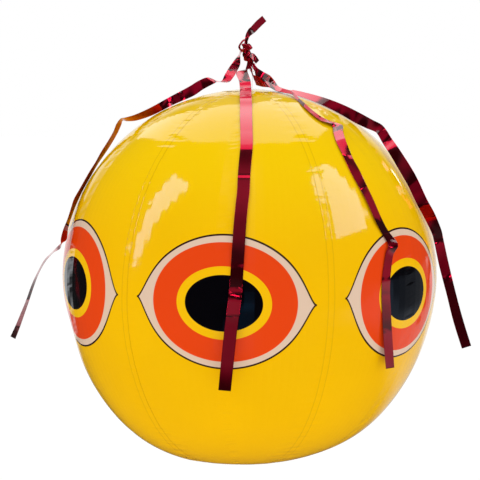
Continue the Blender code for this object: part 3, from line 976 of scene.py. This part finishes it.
centre_stations = (
    (-43.9, 1.75, 1.060, 136, -12, 0.45),
    (-53.0, 3.64, 0.944, 127, -8),
    (-20.1, 6.20, 0.497, 160, -4),
    (-11.1, 9.9, 0.110, 168, -2),
    (-5.3, 19.6, 0.173, 175, 1),
    (-4.0, 24.5, 0.047, 176, 1),
    (-3.0, 31.5, 0.047, 177, 1),
    (-2.3, 37.6, 0.046, 177, 1),
    (-1.9, 43.5, 0.046, 178, 1),
    (-2.1, 48.8, 0.043, 178, 2),
    (-2.3, 53.8, 0.045, 178, 2),
    (-2.3, 58.6, 0.079, 175, 1),
    (-2.6, 63.0, 0.103, 173, 2),
    (-2.9, 67.9, 0.113, 174, 2),
    (-3.1, 73.6, 0.110, 176, 2),
    (-3.3, 78.6, 0.084, 178, 1),
    (-3.5, 83.8, 0.063, -179, 4),
    (-3.6, 86.9, 0.311, -177, 4),
    (-4.1, 91.6, 0.330, -176, 4),
    (-4.7, 96.8, 0.384, -176, 4),
    (-5.4, 103.9, 0.554, -175, 4),
    (-6.2, 111.9, 0.951, -168, 12),
)
outer_stations = (
    (53.6, 1.3, 1.036, 53, 42, 0.37),
    (50.9, 3.0, 0.720, 12, 42),
    (72.7, 4.6, 0.553, 16, 46),
    (79.6, 6.1, 0.334, 14, 37),
    (64.0, 8.5, 0.154, -15, 21),
    (64.0, 12.0, 0.120, -20, 14),
    (68.9, 13.2, 0.141, -19, 18),
    (68.4, 15.5, 0.156, -18, 21),
    (69.3, 19.6, 0.188, -12, 28),
    (70.0, 24.3, 0.237, -12, 39),
    (71.4, 28.9, 0.283, -12, 51),
    (74.4, 33.6, 0.318, -25, 64),
    (73.5, 37.5, 0.451, -14, 55),
    (73.3, 40.2, 0.591, -3, 49),
    (72.2, 42.1, 0.588, 15, 43),
    (71.0, 45.0, 0.491, -1, 50),
    (68.3, 48.7, 0.498, 2, 52),
    (67.1, 54.8, 0.465, -2, 71),
    (67.2, 59.2, 0.444, -8, 63),
    (68.3, 64.7, 0.385, -3, 58),
    (70.0, 69.0, 0.415, 3, 64),
    (72.5, 74.0, 0.443, -2, 50),
    (73.6, 77.1, 0.421, -1, 46),
    (74.6, 83.9, 0.484, -12, 47),
    (75.5, 92.1, 0.828, -14, 43),
    (76.1, 99.2, 1.361, -23, 46),
    (76.6, 105.4, 2.113, -30, 42),
)
inner_stations = (
    (13.2, 2.5, 0.505, -161, 67),
    (32.9, 4.3, 0.428, -115, 59),
    (43.7, 6.5, 0.350, -70, 31),
    (49.2, 9.1, 0.208, -48, 19),
    (52.1, 12.0, 0.168, -42, 10),
    (51.4, 15.0, 0.185, -39, 5),
    (48.4, 18.6, 0.037, -31, 0),
    (42.3, 23.5, 0.049, -35, -3),
    (40.5, 27.9, 0.065, -38, -6),
    (41.6, 31.6, 0.064, -38, -6),
    (45.4, 33.7, 0.091, -36, -11),
    (47.1, 35.7, 0.117, 6, 15),
    (43.8, 38.4, 0.099, 3, 11),
    (41.0, 42.5, 0.088, 0, 9),
    (39.9, 47.6, 0.044, 11, -2),
    (39.5, 53.0, 0.061, -4, 4),
    (40.1, 58.1, 0.053, -9, -4),
    (40.7, 62.1, 0.075, -9, -8),
    (41.8, 67.8, 0.077, -3, -8),
    (43.4, 71.4, 0.055, 0, -4),
    (45.2, 75.3, 0.158, 4, 12),
    (43.7, 77.8, 0.057, 11, -5),
    (41.8, 83.0, 0.038, -1, -1),
    (41.2, 87.8, 0.038, 5, -1),
    (41.6, 93.0, 0.049, 0, 2),
    (42.4, 99.0, 0.138, 0, 3),
    (43.7, 104.8, 0.270, 0, 5),
    (45.0, 109.7, 0.465, -1, 4),
)
tail_stations = (
    (-82.2, 1.7, 2.430, 151, 8, 0.42),
    (-79.8, 1.3, 2.790, 161, 21, 0.67),
    (-71.0, 0.7, 3.005, 179, 30),
    (28.0, 0.2, 3.151, -87, 30),
    (79.9, 1.2, 3.430, -39, 29),
    (85.1, 2.5, 3.736, -31, 29),
)
stub_stations = (
    (-55.9, 0.9, 1.833, -136, 40, 0.50),
    (8.4, 0.7, 1.735, -70, 35, 0.83),
    (34.5, 1.2, 1.602, -41, 27),
    (53.4, 1.7, 1.437, -20, 17),
)

# Flat facets between the creases of each ribbon: the station where one starts, and how far it leans along
# and across the ribbon in degrees. Each runs over into the next within crease of a station on both sides.
left_facets = (
    (0, 20, 0), (1.25, -35, 25), (1.75, 0, 10), (2.25, -35, 35), (3, -20, 25), (4.25, -35, 5),
    (5.75, -20, 15), (6.75, 25, 25), (7.75, -5, 0), (9, -15, 0), (10.5, 0, 30), (11, 0, 0), (15, 0, -15),
    (25, 0, 0), (28, -35, 0), (29.5, -15, -5), (33, -35, 5), (35, 5, 5),
)
centre_facets = (
    (0, 35, 30), (0.25, 35, -10), (0.5, -10, 20), (2, -5, 5), (2.75, 10, 10), (3, 20, 0), (4.25, 5, 0),
    (5, 0, 0), (7, -10, 0), (8.25, 0, 0), (10, -15, 0), (10.25, 0, 0), (13, 5, 0), (15.25, 0, 5),
    (16.5, -5, -5), (17, -15, 25), (17.25, -35, -5), (18.25, 5, 0),
)
outer_facets = (
    (0, 0, -10), (1.25, 35, 30), (2.75, -35, 10), (3, -15, 10), (3.25, 20, 10), (3.75, 5, 10), (7, -5, 10),
    (10, -15, 10), (11, 5, 10), (13.75, 0, 20), (14.25, -10, 15), (15, -15, -5), (15.75, 5, 0), (18, -15, 5),
    (18.5, -25, 5), (19.25, 30, 35), (20.25, -10, 30), (21.25, -30, 25), (22, 5, 0), (23.5, -10, 35),
)
inner_facets = (
    (0, 0, 35), (1.75, 20, -20), (2.25, -20, 15), (3, 0, 15), (5, -20, 35), (6, -35, 35), (7, 0, 25),
    (7.75, -35, 30), (8.75, 0, 10), (11, -20, 20), (11.75, 0, 10), (12.5, -10, 10), (14, -10, 35),
    (16, 35, 15), (18, 35, 30), (19.25, -30, 30), (20.25, 15, 0), (22.25, 10, 10), (23.25, 5, 10),
    (25, -5, 5),
)
tail_facets = (
    (0, -35, 25), (0.75, 0, 5), (1, 35, 35), (2.25, 20, 30),
)
stub_facets = (
    (0, -15, 25), (0.75, 0, 0), (1.5, -35, 30), (2, 35, 25),
)


def place_on_ball(azimuth, fall, lift=0.0):
    """A point at this height over the ball's skin."""
    return ball_centre + (ball_radius + lift) * outward(azimuth, fall)


def ribbon_edges(station):
    """The ribbon's two edges at a station."""
    azimuth, fall, lift, heading, rise, *shares = station
    share = shares[0] if shares else 1.0
    heading = math.radians(heading)
    rise = math.radians(rise)
    flat = math.cos(heading) * outward(azimuth + 90, 90) + math.sin(heading) * outward(azimuth, fall + 90)
    half = share * ribbon_width / 2 * (math.cos(rise) * flat + math.sin(rise) * outward(azimuth, fall))
    middle = place_on_ball(azimuth, fall, lift * eyelet_rise)
    return middle + half, middle - half


def between(before, start, end, after, share):
    """A point on the smooth line from start to end, led by the points before and after."""
    return (
        start
        + (end - before) * (share / 2)
        + (2 * before - 5 * start + 4 * end - after) * (share**2 / 2)
        + (3 * start - before - 3 * end + after) * (share**3 / 2)
    )


def smooth_rows(guides, steps):
    """Rows on the smooth surface through these rows of guide points."""
    last = len(guides) - 1
    rows = []
    for i in range(last):
        near = [guides[j] for j in (max(i - 1, 0), i, i + 1, min(i + 2, last))]
        rows += [[between(*line, step / steps) for line in zip(*near)] for step in range(steps)]
    return rows + [guides[last]]


def facet_lean(facets, station):
    """The slope of the ribbon's face along and across at a station: each facet runs over into the next."""
    places = [facets[0][0]]
    leans = [facets[0][1:]]
    for before, after in zip(facets, facets[1:]):
        places += [after[0] - crease, after[0] + crease]
        leans += [before[1:], after[1:]]
    angles = [np.interp(station, places, [lean[i] for lean in leans]) for i in (0, 1)]
    return [math.tan(math.radians(angle)) for angle in angles]


def ribbon_sheet(name, guides, steps, columns, pleat=0.0, crumple=0.0, facets=((0, 0, 0),)):
    """Ribbon between two guided edges, with lengthwise pleats, a random crumple and facets in relief."""
    edges = smooth_rows(guides, steps)
    shares = [0, edge_share, *spread(0, 1, columns)[1:-1], 1 - edge_share, 1]
    rows = []
    relief = []
    level = 0.0
    for i, (left, right) in enumerate(edges):
        following = edges[min(i + 1, len(edges) - 1)]
        before = edges[max(i - 1, 0)]
        run = (following[0] + following[1] - before[0] - before[1]).normalized()
        out = (right - left).cross(run).normalized()
        row = []
        for share in shares:
            point = left.lerp(right, share)
            fold = pleat * (abs(share * 4 % 2 - 1) - 0.5)
            random = crumple * noise.noise(point / crumple_length)
            row.append(point + out * (fold + random))
        rows.append(row)
        pitch, roll = facet_lean(facets, i / steps)
        level -= pitch * (following[0] + following[1] - left - right).length / 2
        relief += [level - roll * (left - right).length * (share - 0.5) for share in shares]
    obj = sheet_mesh(name, rows, red_foil)
    write_field(obj.data, "relief", relief)
    return obj


# The knot: all the ends gathered, twisted and tied above the eyelet, with a narrow gathered loop that
# goes down through it and a small loop that stands out at the left.
crumple_length = 0.0035
knot_pleat = 0.0005
knot_crumple = 0.00012
knot_steps = 10
knot_columns = 12
bundle_width = 0.0088
bundle_depth = 0.0052
wrap_radius = 0.0022
wrap_girth = 0.58
wrap_turn = 400
wrap_steps = 60
wrap_growth = 0.0006
wrap_rows = 10
wrap_edge_share = 0.92
wrap_crumple_length = 0.0018
tail_place_round = 45
# Bundle path: azimuth, fall, lift in shares of eyelet_rise, share of the full girth, twist in degrees
bundle_stations = (
    (-81, 1.42, 2.400, 0.62, 0),
    (-81, 1.46, 2.290, 0.92, 25),
    (-81, 1.50, 2.178, 0.80, 60),
    (-81, 1.55, 1.918, 0.90, 115),
    (-79, 1.31, 1.709, 1.00, 170),
    (-75, 0.96, 1.500, 0.95, 215),
    (-64, 0.58, 1.400, 0.60, 240),
)
# Each gathered end: how far round the bundle it lies in degrees, its first and last bundle station, and
# the ribbon that it runs on into
gathered_ends = (
    (0, 1, 3, left_stations),
    (90, 0, 6, centre_stations),
    (180, 0, 7, outer_stations),
    (270, 0, 7, inner_stations),
    (45, 1, 5, stub_stations),
)
# Lead through the eyelet: right, forward and up, in shares of the eyelet's radius
lead_stations = (
    (-0.95, 0.1, 1.30),
    (-0.8, 0, 0.05),
    (0, 0, -0.58),
    (0.8, 0, 0.05),
    (0.95, 0.1, 1.30),
    (0.6, 0.2, 2.30),
)
lead_width = 0.0019
lead_steps = 8
lead_columns = 8
loop_columns = 4
loop_width = 0.0022
loop_slant = 0.0028
loose_crumple = 0.0002
# Small loop: right, forward and up from the eyelet, in shares of the ribbon's width
loop_stations = (
    (-0.50, 0.10, 2.35),
    (-0.72, 0.16, 2.62),
    (-0.98, 0.20, 2.42),
    (-1.18, 0.20, 2.02),
    (-0.95, 0.12, 1.70),
    (-0.60, 0.08, 1.60),
)


def bundle_guide(station, place_round):
    """The two edges of one gathered end where it passes a bundle station."""
    azimuth, fall, lift, girth, twist = station
    turn = math.radians(twist + place_round)
    out = Vector((math.cos(turn) * bundle_width, -math.sin(turn) * bundle_depth, 0)) * (girth / 3)
    along = Vector((-math.sin(turn) * bundle_width, -math.cos(turn) * bundle_depth, 0)) * (girth / 2)
    middle = place_on_ball(azimuth, fall, lift * eyelet_rise) + out
    return middle + along, middle - along


strips = []
for place_round, first, last, stations in gathered_ends:
    guides = [bundle_guide(station, place_round) for station in bundle_stations[first:last]]
    ends = ribbon_edges(stations[0])
    if (guides[-1][0] - ends[0]).length > (guides[-1][0] - ends[1]).length:
        ends = ends[::-1]
    guides.append(ends)
    strips.append(ribbon_sheet("end", guides, knot_steps, knot_columns, knot_pleat, knot_crumple))
guides = [bundle_guide(station, tail_place_round) for station in bundle_stations[3:0:-1]]
guides.append(ribbon_edges(tail_stations[0]))
strips.append(ribbon_sheet("tail_foot", guides, knot_steps, knot_columns, knot_pleat, knot_crumple))

bundle_end = [place_on_ball(a, f, lift * eyelet_rise) for a, f, lift, girth, twist in bundle_stations[-2:]]
path = [Vector((x, -y, z)) * eyelet_radius for x, y, z in lead_stations]
path = [bundle_end[0], *path, bundle_end[1]]
across = Vector((0, lead_width / 2, 0))
edges = [(point + across, point - across) for point in path]
strips.append(ribbon_sheet("lead", edges, lead_steps, lead_columns, knot_pleat / 2, loose_crumple))
path = [Vector((x, -y, z)) * ribbon_width for x, y, z in loop_stations]
middle = sum(path, Vector()) / len(path)
edges = []
for point in path:
    across = ((point - middle).normalized() * loop_width + Vector((0, loop_slant, 0))) / 2
    edges.append((point + across, point - across))
strips.append(ribbon_sheet("loop", edges, lead_steps, loop_columns, 0, loose_crumple))

# Wraps of the knot: azimuth, fall, lift in shares of eyelet_rise, lean in degrees
wraps = (
    (-81, 1.48, 2.27, 16),
    (-81, 1.48, 2.12, -14),
)
for azimuth, fall, lift, lean in wraps:
    middle = place_on_ball(azimuth, fall, lift * eyelet_rise)
    tilt = Matrix.Rotation(math.radians(lean), 3, "Y")
    rows = []
    for turn in spread(0, wrap_turn, wrap_steps):
        a = math.radians(turn)
        row = []
        for height in spread(-wrap_edge_share, wrap_edge_share, wrap_rows):
            bulge = math.sqrt(1 - height**2) * (1 + wrap_growth * turn)
            point = Vector((math.cos(a) * bundle_width * wrap_girth * bulge,
                            math.sin(a) * bundle_depth * wrap_girth * bulge, height * wrap_radius))
            point += point.normalized() * knot_crumple * noise.noise(point / wrap_crumple_length)
            row.append(middle + tilt @ point)
        rows.append(row)
    strips.append(sheet_mesh("wrap", rows, red_foil))
knot = joined("ribbon_knot_foil", *strips)
write_field(knot.data, "crush", [1.0] * len(knot.data.vertices))
knot.data.shade_smooth()
solidify(knot, foil, 0)
fix(knot, "ball", "red_foil", "ribbon_knot")


# The streamers, the tail and the stub: flat ends of the ribbon that hang from the knot and lie on the
# ball. Each streamer turns about the edge of the knot where it leaves it; the tail and the stub hang whole
# on their bodies.
bend_length = 0.018
for name, stations, facets in (
    ("streamer_left", left_stations, left_facets),
    ("streamer_centre", centre_stations, centre_facets),
    ("streamer_inner_right", inner_stations, inner_facets),
    ("streamer_outer_right", outer_stations, outer_facets),
    ("ribbon_tail", tail_stations, tail_facets),
    ("ribbon_stub", stub_stations, stub_facets),
):
    guides = [ribbon_edges(station) for station in stations]
    obj = ribbon_sheet(name + "_foil", guides, ribbon_steps, ribbon_columns, facets=facets)
    solidify(obj, foil, 0)
    body = body_of(frame["nodes"][name])[0]
    path = [(left + right) / 2 for left, right in guides]
    length = sum((after - before).length for before, after in zip(path, path[1:]))
    if name.startswith("streamer"):
        end = next(point for point in path if (point - path[0]).length > bend_length)
        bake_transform(obj, "ball", body, start=path[0], end=end)
        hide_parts(name)
    else:
        fix(obj, body, "red_foil", name)
